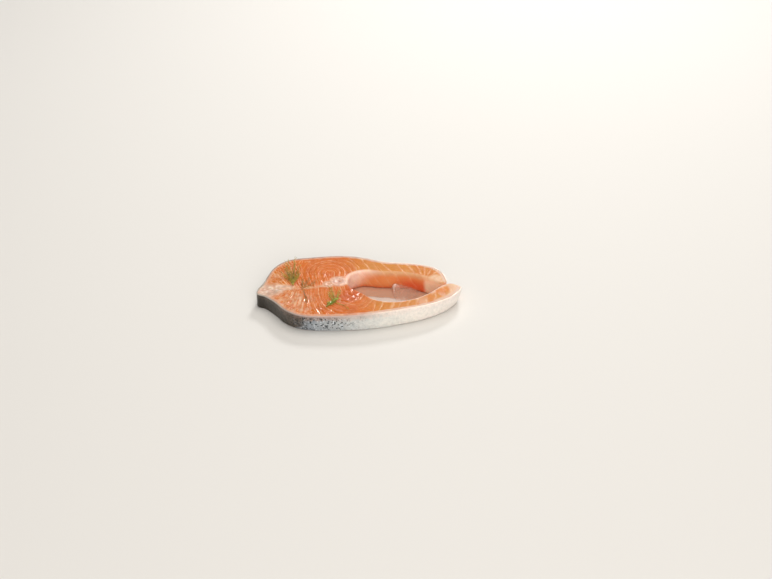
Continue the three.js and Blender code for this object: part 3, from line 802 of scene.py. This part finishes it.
# silver flecks where single scales catch the light
fleck_zone = add(
    tree, "MapRange", {"Value": ramp_place, "From Min": 0.17, "From Max": 0.27},
    interpolation_type="SMOOTHSTEP",
)
fleck_place = add(tree, "Math", {0: fleck_zone, 1: speck_zone}, operation="MULTIPLY")
flecks = add(tree, "Math", {0: spots(tree, 1.35, 40, 0.35, 0.6), 1: fleck_place}, operation="MULTIPLY")
fleck_amount = add(tree, "Math", {0: flecks, 1: 0.75}, operation="MULTIPLY")
SILVER, BLACK_SPECK = "#E4EAF0", "#1E2328"
specked = add(tree, "ValToRGB", {"Fac": ramp_place}, LOWER_SKIN)
upper_colour = add(tree, "ValToRGB", {"Fac": ramp_place}, UPPER_SKIN)
for amount, over in [(upper, upper_colour), (fleck_amount, SILVER), (specks, BLACK_SPECK)]:
    specked = add(tree, "Mix", {0: amount, 6: specked, 7: over}, data_type="RGBA")
# fine grey mottling all over, and along the cut edge a pale pink line of fat and skin
shade = add(
    tree, "MapRange", {"Value": mottle, "From Min": 0.3, "From Max": 0.7, "To Min": 0.84, "To Max": 1.06}
)
shaded = add(tree, "VectorMath", {0: specked, "Scale": shade}, operation="SCALE")
edge_place = add(
    tree, "MapRange", {"Value": band_parts["Y"], "From Min": 0.92, "From Max": 0.985},
    interpolation_type="SMOOTHSTEP",
)
edge_colour = add(tree, "ValToRGB", {"Fac": ramp_place}, CUT_EDGE)
cells = add(tree, "TexVoronoi", {"Vector": place, "Scale": 1 / (2.2 * MM)})
feed(
    shader,
    {
        "Base Color": add(tree, "Mix", {0: edge_place, 6: shaded, 7: edge_colour}, data_type="RGBA"),
        "Normal": add(tree, "Bump", {"Height": cells, "Strength": 0.5, "Distance": 0.3 * MM}),
        "Roughness": 0.38, "Specular IOR Level": 0.35,
        "Subsurface Weight": 0.12, "Subsurface Radius": (1.0, 0.6, 0.5), "Subsurface Scale": 1.2 * MM,
        "Coat Weight": 0.25, "Coat Roughness": 0.18,
    },
)
dressed(skin, scaly)
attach(skin, "root")
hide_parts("skin")

# ---------------------------------------------------------------------------------------------
# Backbone: one vertebra, cut through, with the small arch round the nerve canal beside it. A
# drum of damp bone with a ringed, dished face, held in the flesh all round by connective fat.
BONE_VOXEL = 0.26
face = bone_high.z / MM - 0.62
DRUM = [  # radius and height
    (0.01, face - 0.75), (0.9, face - 0.7), (1.7, face - 0.45), (2.7, face - 0.2), (3.8, face),
    (4.7, face + 0.02), (5.3, face - 0.14), (6.0, face - 0.02), (6.9, face - 0.08), (7.7, face - 0.5),
    (7.2, face - 2.5), (6.8, THICKNESS / 2), (6.95, 1.0), (6.3, 0.25), (4.6, 0.2), (2.9, 0.7), (0.01, 1.2),
]
ARCH = [
    (0.01, face - 1.2), (0.8, face - 1.0), (1.5, face - 0.55), (2.6, face - 0.35), (3.6, face - 0.7),
    (4.3, face - 1.1), (3.8, face - 2.5), (3.7, 1.0), (3.2, 0.3), (1.7, 0.25), (0.01, 1.0),
]


def turned(shape, profile, at, steps):
    """Spins an open profile of (radius, height) points round an upright axis."""
    made = [shape.verts.new((at[0] + radius, at[1], z)) for radius, z in profile]
    lines = [shape.edges.new(pair) for pair in zip(made, made[1:])]
    bmesh.ops.spin(
        shape, geom=made + lines, cent=(*at, 0), axis=(0, 0, 1), angle=2 * math.pi, steps=steps,
        use_merge=True,
    )


shape = bmesh.new()
turned(shape, DRUM, bone_at, 48)
turned(shape, ARCH, arch_at, 32)
bmesh.ops.remove_doubles(shape, verts=shape.verts, dist=0.001)
bmesh.ops.holes_fill(shape, edges=shape.edges, sides=64)
bmesh.ops.recalc_face_normals(shape, faces=shape.faces)
bmesh.ops.scale(shape, vec=(MM, MM, MM), verts=shape.verts)
bone = remeshed(piece_from(shape, "steak_backbone"), BONE_VOXEL)
places = read(bone.data.vertices, "co", 3) / MM
edges = read(bone.data.edges, "vertices", 2, np.int32)
normals = read(bone.data.vertices, "normal", 3)
places += normals * (0.14 * clouds(places, 2.2, 90) + 0.05 * clouds(places, 0.8, 95))[:, None]
write_places(bone.data, relaxed(places, edges, 2))

# Damp cut bone: chalky pink-white rings round a darker, redder middle, under a thin wet film.
BONE_RINGS = [  # from the middle out to 8 mm
    (0.0, "#B9806E"), (0.12, "#C08874"), (0.26, "#D9A88E"), (0.42, "#E2B69C"), (0.52, "#CF9A84"),
    (0.64, "#E6B89E"), (0.82, "#E8B89C"), (1.0, "#E6B090"),
]
STAIN = "#BD8880"
damp_bone, tree, shader = material("damp cut bone")
place = add(tree, "TexCoord", {}).outputs["Object"]
middle = (-bone_at[0] * MM, -bone_at[1] * MM, 0)
centred = add(tree, "Mapping", {"Vector": place, "Location": middle, "Scale": (1, 1, 0)})
radius = add(tree, "VectorMath", {0: centred}, operation="LENGTH")
wobble = add(tree, "TexNoise", {"Vector": place, "Scale": 1 / (2.5 * MM), "Detail": 3.0})
wobbled = add(tree, "MapRange", {"Value": wobble, "To Min": -0.9 * MM, "To Max": 0.9 * MM})
ringed = add(tree, "Math", {0: radius, 1: wobbled}, operation="ADD")
ring_place = add(tree, "MapRange", {"Value": ringed, "From Max": 8 * MM})
stain = add(tree, "MapRange", {"Value": wobble, "From Min": 0.5, "From Max": 0.68, "To Max": 0.6})
ring_colour = add(tree, "ValToRGB", {"Fac": ring_place}, BONE_RINGS)
pores = add(tree, "TexNoise", {"Vector": place, "Scale": 1 / (0.7 * MM), "Detail": 3.0})
feed(
    shader,
    {
        "Base Color": add(tree, "Mix", {0: stain, 6: ring_colour, 7: STAIN}, data_type="RGBA"),
        "Normal": add(tree, "Bump", {"Height": pores, "Strength": 0.4, "Distance": 0.2 * MM}),
        "Roughness": 0.4,
        "Subsurface Weight": 0.3, "Subsurface Radius": (1.0, 0.5, 0.4), "Subsurface Scale": 1.5 * MM,
        "Coat Weight": 0.15, "Coat Roughness": 0.3,
    },
)
dressed(bone, damp_bone)
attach(bone, "root")
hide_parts("backbone")

# ---------------------------------------------------------------------------------------------
# Dill: three sprigs dropped on the wet face. Each is a thin stem with fronds, each frond a thin
# strand with hair-thin leaflets on both sides, soft and matt.
STEM, LEAFLET, HAIR = 0.26, 0.15, 0.12  # radius of each strand at its root
STEM_LIFT = 0.9  # how far the strands lie above the face
TIP_TAPER = 0.6  # how much thinner a strand gets
FIRST_LEAFLET, LEAFED = 0.12, 0.82  # where a frond's leaflets start, and the share that they cover


def along_frond(frond, share):
    angle = math.radians(frond["heading"] + frond.get("bend", 0) * share / 2)
    reach = frond["length"] * share
    return frond["root"][0] + reach * math.cos(angle), frond["root"][1] + reach * math.sin(angle)


def add_strand(curve, frond, thick, steps, dice):
    """One tapering strand over the upper face, whose tip rises."""
    spline = curve.splines.new("POLY")
    spline.points.add(steps)
    wave = dice.uniform(-0.35, 0.35)
    for number in range(steps + 1):
        share = number / steps
        px, py = along_frond(frond, share)
        lift = frond.get("height", 0) + frond.get("rise", 0) * share * share
        pz = float(top_at(px, py)) + STEM_LIFT + lift + wave * math.sin(3 * share)
        spline.points[number].co = (px * MM, py * MM, pz * MM, 1)
        spline.points[number].radius = thick * (1 - TIP_TAPER * share)


def add_frond(curve, frond, dice):
    """A strand with leaflets on both sides, each with two hairs of its own."""
    add_strand(curve, frond, frond.get("thick", STEM), 8, dice)
    leaflets, reach, spread = frond["leaves"]
    for number in range(leaflets):
        share = FIRST_LEAFLET + LEAFED * (number + dice.uniform(0, 0.6)) / leaflets
        side = 1 if number % 2 else -1
        heading = frond["heading"] + frond.get("bend", 0) * share
        leaflet = {
            "root": along_frond(frond, share),
            "heading": heading + side * spread * dice.uniform(0.6, 1.2),
            "length": reach * (1.15 - 0.5 * share) * dice.uniform(0.75, 1.2),
            "rise": dice.uniform(-0.1, 0.8) + 0.12 * frond.get("rise", 0),
            "height": frond.get("rise", 0) * share * share,
        }
        add_strand(curve, leaflet, LEAFLET, 4, dice)
        for part in (0.3, 0.6):
            hair = {
                "root": along_frond(leaflet, part),
                "heading": leaflet["heading"] + dice.choice((-1, 1)) * spread * dice.uniform(0.4, 0.9),
                "length": leaflet["length"] * 0.55,
                "rise": dice.uniform(0, 0.5),
                "height": leaflet["height"] + leaflet["rise"] * part * part,
            }
            add_strand(curve, hair, HAIR, 3, dice)


def spread_fronds(root, first, last, count, short, long, rise):
    """Fronds from one root, the middle ones longest and highest."""
    fronds = []
    for number in range(count):
        share = number / (count - 1)
        middle = math.sin(math.pi * share)
        fronds.append(
            {
                "root": root,
                "heading": first + (last - first) * share,
                "length": (short + (long - short) * middle) * (0.82 if number % 2 else 1),
                "rise": 1.2 + (rise - 1.2) * middle,
                "bend": 14 * (0.5 - share) + 7 * math.cos(2.4 * number),
                "leaves": (7, 8, 11),
            }
        )
    return fronds


# each sprig's fronds, and the darkest and lightest green in it; a frond's leaves are how many,
# how long and how far they spread from it in degrees
SPRIGS = {
    "dill_sprig_1": (spread_fronds((-58.2, 5.4), 111, 71, 8, 19, 35, 8), "#726A10", "#C0A832"),
    "dill_sprig_2": (
        [
            dict(root=(-31, -36.5), heading=50, length=16.5, rise=0.4, thick=0.6, leaves=(46, 3.6, 42)),
            dict(root=(-25.4, -29.6), heading=-26, length=19.5, rise=0.2, bend=-36, leaves=(3, 4, 20)),
            dict(root=(-24.4, -28.6), heading=106, length=15, rise=1, bend=-10, leaves=(6, 5.5, 20)),
            dict(root=(-23.2, -27.1), heading=92, length=22, rise=1.6, bend=8, leaves=(8, 6.5, 20)),
            dict(root=(-22, -25.7), heading=66, length=14, rise=1.2, bend=16, leaves=(6, 5, 20)),
        ],
        "#68801A", "#ACBC44",
    ),
    "dill_sprig_3": (
        [
            dict(root=(-48.9, -11), heading=99, length=12, rise=0.2, leaves=(2, 4, 25)),
            dict(root=(-50.5, -0.6), heading=88, length=12, rise=1, bend=-10, leaves=(6, 4.5, 18)),
            dict(root=(-50.3, -1.4), heading=66, length=14, rise=1.2, bend=-12, leaves=(6, 5, 18)),
            dict(root=(-50.2, -2.4), heading=42, length=15, rise=1, bend=-10, leaves=(6, 5, 18)),
            dict(root=(-49.1, -10), heading=-80, length=19, rise=0.2, bend=-12, leaves=(6, 5, 14)),
        ],
        "#775620", "#B28A4C",
    ),
}
for number, (name, (fronds, dark, light)) in enumerate(SPRIGS.items()):
    dice = random.Random(number + 5)
    curve = bpy.data.curves.new(name + "_strands", "CURVE")
    curve.dimensions = "3D"
    curve.bevel_depth = MM
    curve.bevel_resolution = 0
    curve.use_fill_caps = True
    for frond in fronds:
        add_frond(curve, frond, dice)
    strands = placed(name + "_strands", curve)
    mesh = bpy.data.meshes.new_from_object(strands.evaluated_get(bpy.context.evaluated_depsgraph_get()))
    bpy.data.objects.remove(strands)
    sprig = placed("fresh_" + name, mesh)
    # Fresh dill: soft and matt, thin enough for light to come through.
    leaf, tree, shader = material(f"fresh dill {number + 1}")
    place = add(tree, "TexCoord", {}).outputs["Object"]
    patches = add(tree, "TexNoise", {"Vector": place, "Scale": 1 / (4 * MM), "Detail": 2.0})
    patch = add(tree, "MapRange", {"Value": patches, "From Min": 0.35, "From Max": 0.65})
    feed(
        shader,
        {
            "Base Color": add(tree, "Mix", {0: patch, 6: dark, 7: light}, data_type="RGBA"),
            "Roughness": 0.55,
            "Subsurface Weight": 0.2, "Subsurface Radius": (0.6, 1.0, 0.3), "Subsurface Scale": 0.5 * MM,
        },
    )
    dressed(sprig, leaf)
    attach(sprig, "root")
    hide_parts(name)

# ---------------------------------------------------------------------------------------------
# Membrane: a loose piece of the belly's lining, a fifth of a millimetre thick and half
# see-through. It hangs from the far wall down to the floor, with its left edge rolled up.
FILM_ROWS = [  # from the wall to the front, each from left to right
    [(32.8, 15.6, 5.8), (43, 15, 4.2), (54, 9.8, 1.4)],
    [(27.2, 13.0, 1.8), (42, 8, 1.2), (55, 5, 0.8)],
    [(33.5, -7, 0.4), (43, -10, 0.4), (54, -2, 0.4)],
]
COLUMNS, ROWS = 48, 32
ROLLED = 0.16  # share of the width that is rolled up
FILM_THICKNESS, LOWEST = 0.2, 0.3


def on_bow(points, share):
    """A point on the curve from the first point to the third that leans to the second."""
    a, b, c = map(Vector, points)
    return (1 - share) * ((1 - share) * a + share * b) + share * ((1 - share) * b + share * c)


shape = bmesh.new()
bmesh.ops.create_grid(shape, x_segments=COLUMNS, y_segments=ROWS, size=0.5)
veils = []
for vertex in shape.verts:
    across, down = vertex.co.x + 0.5, 0.5 - vertex.co.y
    point = on_bow([on_bow(row, across) for row in FILM_ROWS], down)
    rolled = max(0, 1 - across / ROLLED)
    fold = math.sin(math.pi * min(1, across / ROLLED))
    fade = math.sin(math.pi * down) ** 0.5 * (1 - across)
    drifting = 2 * noise.noise(Vector((3 * down, 4 * across, 11)))
    ripple = 0.22 * math.sin(14 * across + 5 * down + drifting) + 0.1 * math.sin(23 * across - 7 * down)
    wander = noise.noise(Vector((3 * down, 5 * across, 4)))
    point += Vector((1.4 * wander * (rolled + across), 0, (0.9 * fold + ripple + 0.5 * wander) * fade))
    point.z = max(point.z, LOWEST)
    vertex.co = point * MM
    edge = min(1, 6 * (1 - across)) * min(1, 8 * down + 0.2) * min(1, 5 * (1 - down))
    streak = 0.04 * math.sin(27 * across + 9 * down + 3 * wander) + 0.14 * wander
    veils.append(edge * max(0.05, 0.2 + 0.45 * fold * max(0, 1 - 1.6 * down) + streak))
bmesh.ops.recalc_face_normals(shape, faces=shape.faces)
membrane = piece_from(shape, "belly_membrane")
store(membrane.data, "veil", "FLOAT", veils)
wall_of_film = membrane.modifiers.new("thickness", "SOLIDIFY")
wall_of_film.thickness = FILM_THICKNESS * MM
applied(membrane)
# Serous membrane: colourless and wet, so it shows by its gloss and by a milky veil.
MILKY, CLEAR = "#FFF2EA", "#E6B79C"
serous, tree, shader = material("wet serous membrane")
veil = add(tree, "Attribute", {}, attribute_name="veil").outputs["Fac"]
thickly = add(tree, "MapRange", {"Value": veil, "From Min": 0.25, "From Max": 0.6})
feed(
    shader,
    {
        "Base Color": add(tree, "Mix", {0: thickly, 6: CLEAR, 7: MILKY}, data_type="RGBA"),
        "Alpha": veil, "Roughness": 0.3, "Coat Weight": 0.25, "Coat Roughness": 0.25,
    },
)
dressed(membrane, serous)
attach(membrane, "root")

# ---------------------------------------------------------------------------------------------
# Juice: the little that has run out of the flesh and wets the floor inside the belly. It lies
# as a flat film against the feet of the walls, thinnest at its free edge. Where it lies thick it is
# also painted shade: the far wall's shadow on the floor, warmed by the orange light the walls throw.
JUICE_STEP = 0.6
JUICE_BOX = (-14, 74, -36, 24)  # what it is cut from, along X and Y: more than the belly's floor
UNDER_FLESH = 1.2  # how far it runs on under the walls' rounded feet
JUICE_AND_SHADE_COLOUR = "#D88E56"
flesh_tree = BVHTree.FromObject(flesh, bpy.context.evaluated_depsgraph_get())
shape = bmesh.new()
reach_x, reach_y = (JUICE_BOX[1] - JUICE_BOX[0]) / 2, (JUICE_BOX[3] - JUICE_BOX[2]) / 2
bmesh.ops.create_grid(
    shape, x_segments=round(2 * reach_x / JUICE_STEP), y_segments=round(2 * reach_y / JUICE_STEP), size=1
)
juice_and_shade = {}
for vertex in shape.verts:
    px = JUICE_BOX[0] + reach_x * (vertex.co.x + 1)
    py = JUICE_BOX[2] + reach_y * (vertex.co.y + 1)
    vertex.co = Vector((px, py, 1)) * MM
    nearest, away, _, gap = flesh_tree.find_nearest(vertex.co)
    under_flesh = (vertex.co - nearest).dot(away) < 0 and gap > UNDER_FLESH * MM
    past_flaps = py < 0.004 * (px - 20) ** 2 - 36 or px + py > 86
    # its free edge runs where the far wall's shadow on the floor ends, and it thickens behind it: painted
    # shadow
    front = 1.5 - 0.17 * (px - 15) - 4 * step(px, 31, 42) + 11 * step(px, 50, 61)
    from_front = py - front + 1.6 * noise.noise(Vector((px, py, 0)) / 9)
    juice_and_shade[vertex] = 0 if past_flaps or under_flesh else 0.3 + 0.7 * min(1, max(0, from_front / 2.5))
    vertex.co.z = (0.08 + 0.18 * juice_and_shade[vertex]) * MM
dry = [vertex for vertex, share in juice_and_shade.items() if share == 0]
bmesh.ops.delete(shape, geom=dry, context="VERTS")
veils = [min(0.5, 0.6 * juice_and_shade[vertex]) for vertex in shape.verts]
juice = piece_from(shape, "belly_juice_and_shade")
store(juice.data, "veil", "FLOAT", veils)
# Meat juice and painted shade: a thin wet film, orange where it lies thick, where it also paints the floor's
# shade.
juice_and_shade_film, tree, shader = material("thin meat juice and painted shade")
veil = add(tree, "Attribute", {}, attribute_name="veil").outputs["Fac"]
feed(shader, {"Base Color": JUICE_AND_SHADE_COLOUR, "Alpha": veil, "Roughness": 0.3})
dressed(juice, juice_and_shade_film)
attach(juice, "root")

# ---------------------------------------------------------------------------------------------
# Floor and light: a plain pale floor under a wide soft light overhead, a small light behind on
# the right whose glints show what is wet, and a broad fill from the front.
shape = bmesh.new()
bmesh.ops.create_grid(shape, x_segments=1, y_segments=1, size=6)
floor = piece_from(shape, "floor")
pale, _, shader = material("matt pale paint")
feed(shader, {"Base Color": "#E6E3DE", "Roughness": 0.8})
floor.data.materials.append(pale)

# the sky is dim half-way up, where the wet upper face mirrors it, so the meat keeps its colour
SKY_BRIGHTNESS = [(0.1, 0.88), (0.42, 0.16), (0.64, 0.16), (0.85, 0.5)]
world = bpy.data.worlds.new("studio")
bpy.context.scene.world = world
world.use_nodes = True
tree = world.node_tree
toward_sky = add(tree, "TexCoord", {}).outputs["Generated"]
climb = add(tree, "SeparateXYZ", {0: toward_sky}).outputs["Z"]
glow = add(tree, "ValToRGB", {"Fac": climb}, SKY_BRIGHTNESS)
feed(tree.nodes["Background"], {"Color": "#F8F6F4", "Strength": glow})


def softbox(name, azimuth, elevation, distance, size, power, colour):
    """A square area light that faces the steak; azimuth 0 is behind it, 90 on its right."""
    lamp = bpy.data.lights.new(name, "AREA")
    lamp.size = size
    lamp.energy = power
    lamp.color = linear(colour)
    light = placed(name, lamp)
    turn, rise = math.radians(azimuth), math.radians(elevation)
    away = Vector((math.sin(turn) * math.cos(rise), math.cos(turn) * math.cos(rise), math.sin(rise)))
    light.location = away * distance
    light.rotation_euler = (-away).to_track_quat("-Z", "Y").to_euler()


softbox("overhead", 40, 78, 1.5, 1.1, 9, "#FFFBF4")
softbox("glint", 20, 36, 1.5, 0.28, 8.4, "#FFFFFF")
softbox("fill", 178, 26, 2.2, 1.6, 28, "#FFFCF8")
